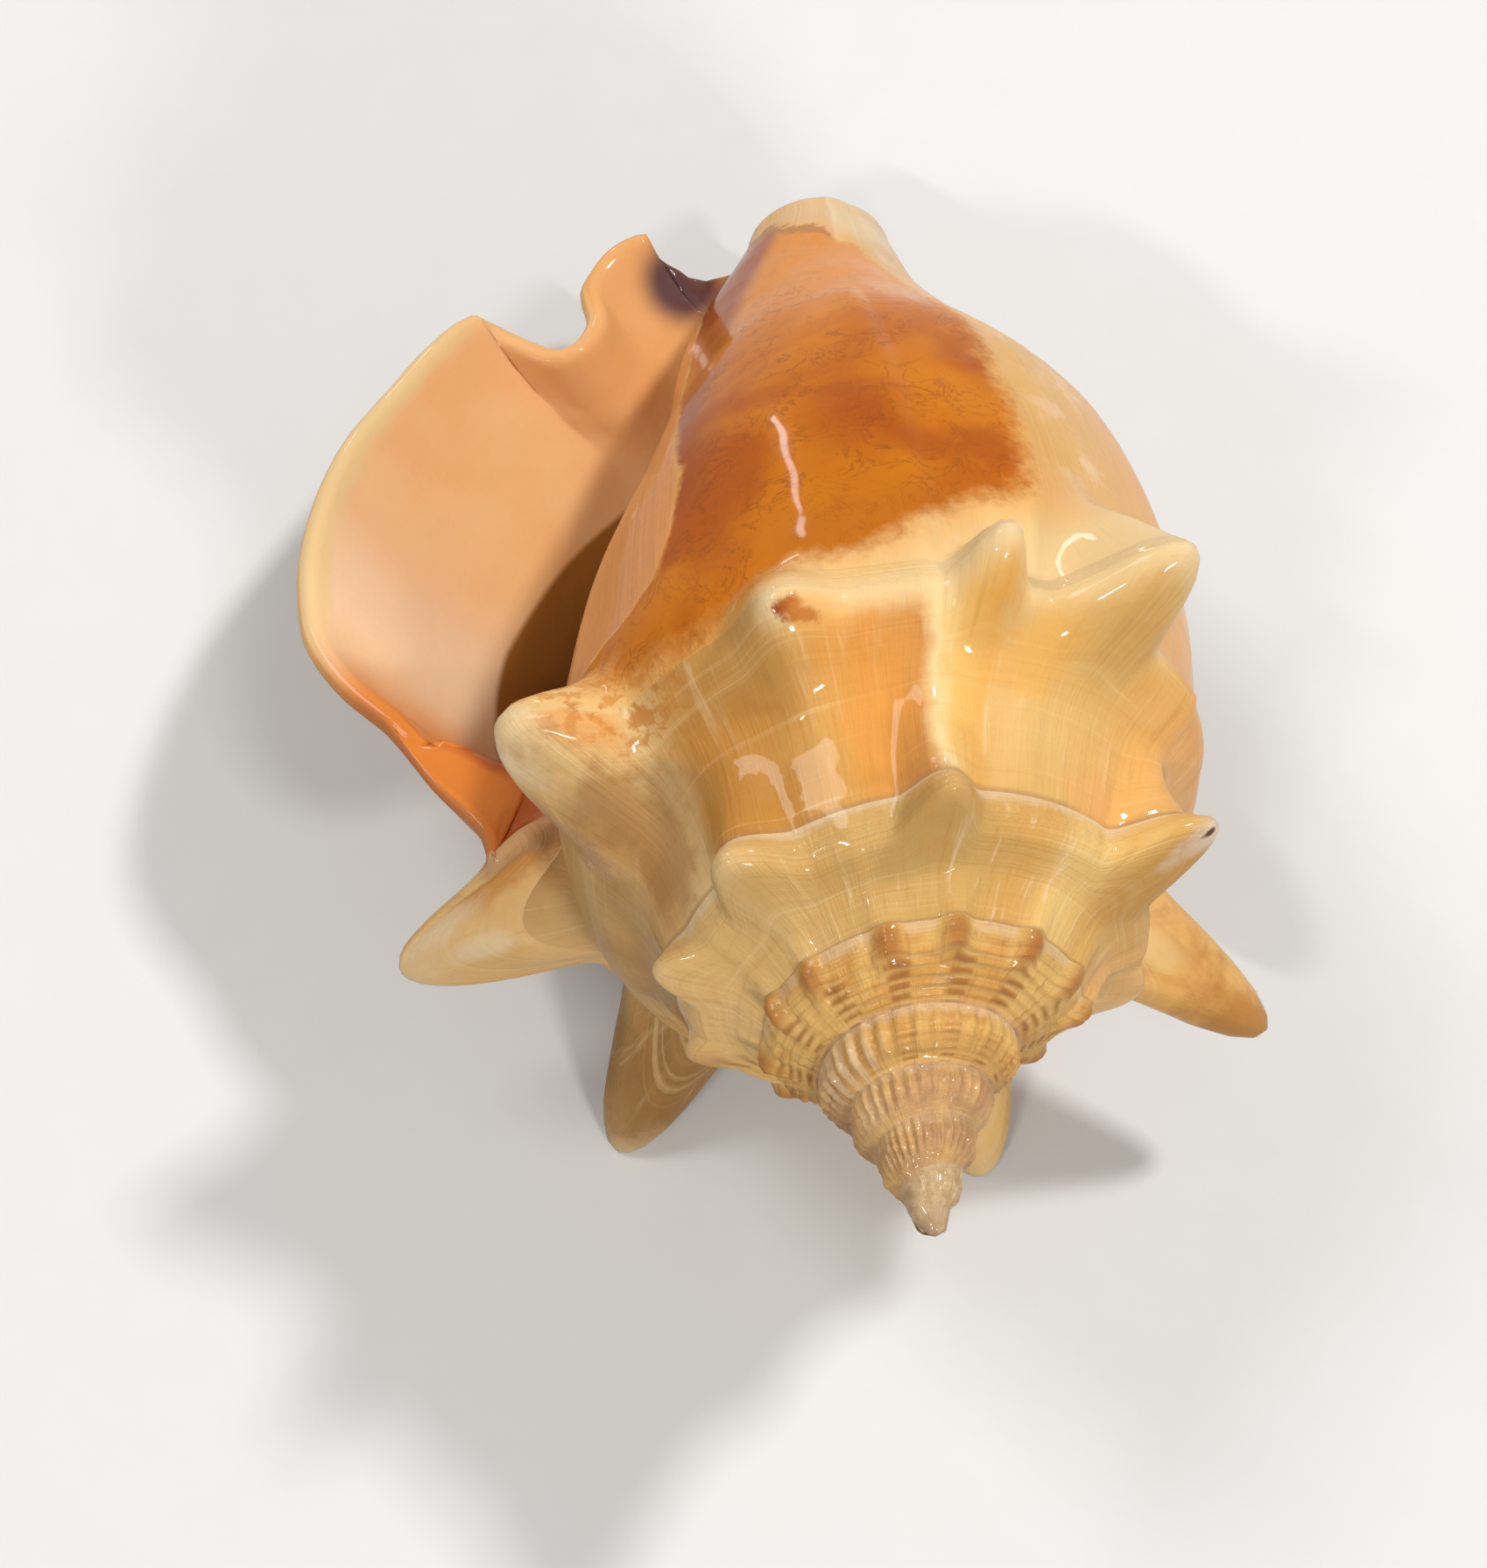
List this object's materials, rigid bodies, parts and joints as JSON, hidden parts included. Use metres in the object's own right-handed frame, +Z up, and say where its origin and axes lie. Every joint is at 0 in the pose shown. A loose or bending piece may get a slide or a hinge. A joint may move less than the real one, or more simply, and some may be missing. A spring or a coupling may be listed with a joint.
{
  "type": "fighting conch shell",
  "caption": "Empty fighting conch: spired, spiny-shouldered sea shell with a flared, notched outer lip and a hollow aperture, lying on its back.",
  "frame": {"origin": "centre of the bounding box in plan, on the surface that the shell rests on", "axes": "+Y runs along the shell from the spire to the front end, +Z up with the aperture facing up, +X toward the side away from the outer lip"},
  "size_m": [0.0636, 0.0858, 0.0512],
  "materials": {
    "shell": "glossy natural shell: amber callus, cream spines, salmon lip"
  },
  "bodies": {
    "root": {"shell": "shell"}
  },
  "joints": []
}
